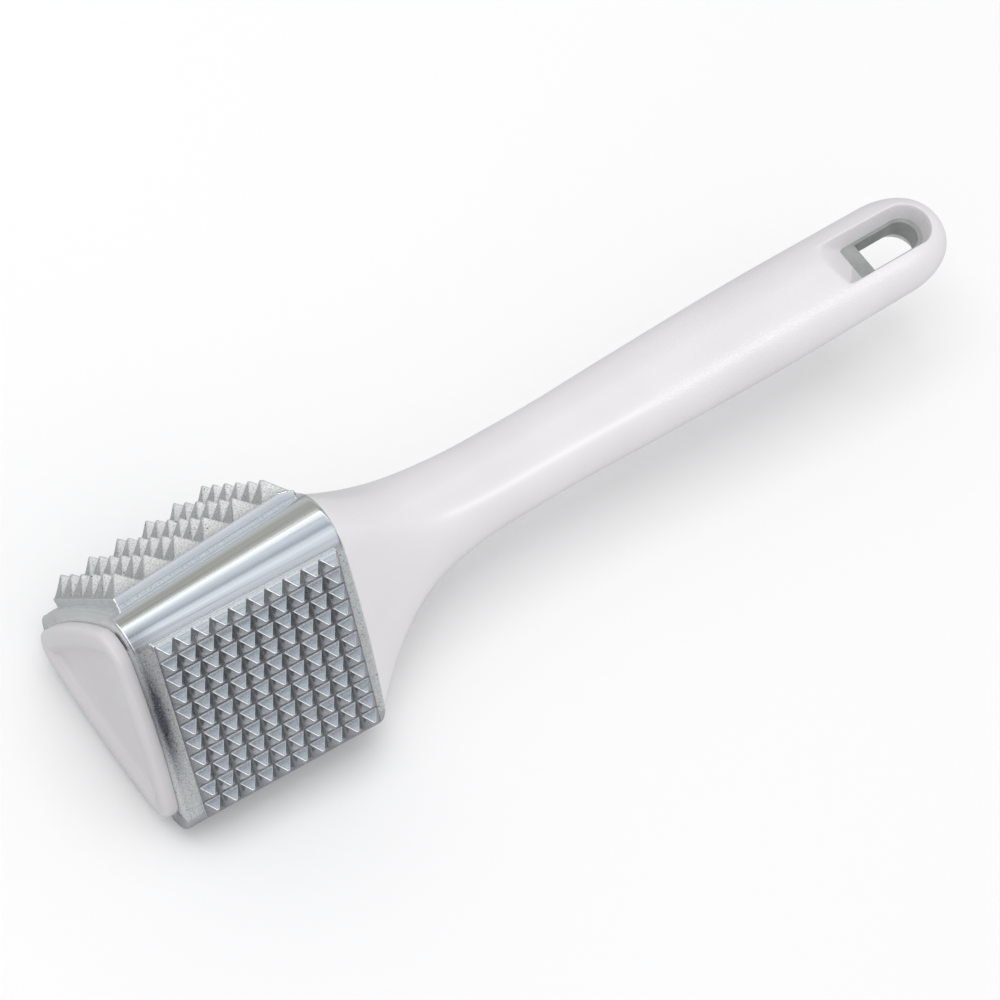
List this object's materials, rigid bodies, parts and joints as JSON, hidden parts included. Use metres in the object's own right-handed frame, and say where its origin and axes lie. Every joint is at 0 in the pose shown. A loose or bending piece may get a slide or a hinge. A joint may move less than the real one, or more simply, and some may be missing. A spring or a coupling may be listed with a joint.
{
  "type": "meat mallet",
  "caption": "Three-sided meat mallet: cast head with coarse, fine and plain faces, white moulded handle with a hanging eye.",
  "frame": {"origin": "centre of the head's plain face, on the surface the mallet stands on", "axes": "+Z out of the back of the plain face (up), +X along the head towards the handle's hanging eye, +Y towards the coarse face's side"},
  "size_m": [0.2709, 0.0763, 0.0656],
  "materials": {
    "cast_metal": "cast, blasted faces with polished corners and teeth",
    "white_plastic": "satin, fine leather grain on the grip",
    "core_plastic": "matt moulded",
    "zinc_steel": "bright zinc plated",
    "brass_insert": "turned"
  },
  "bodies": {
    "root": {"head": "cast_metal", "end_cap": "white_plastic", "handle": "white_plastic", "core_bar": "core_plastic", "thread_insert": "brass_insert", "clamp_screw": "zinc_steel", "washer": "zinc_steel"}
  },
  "joints": []
}
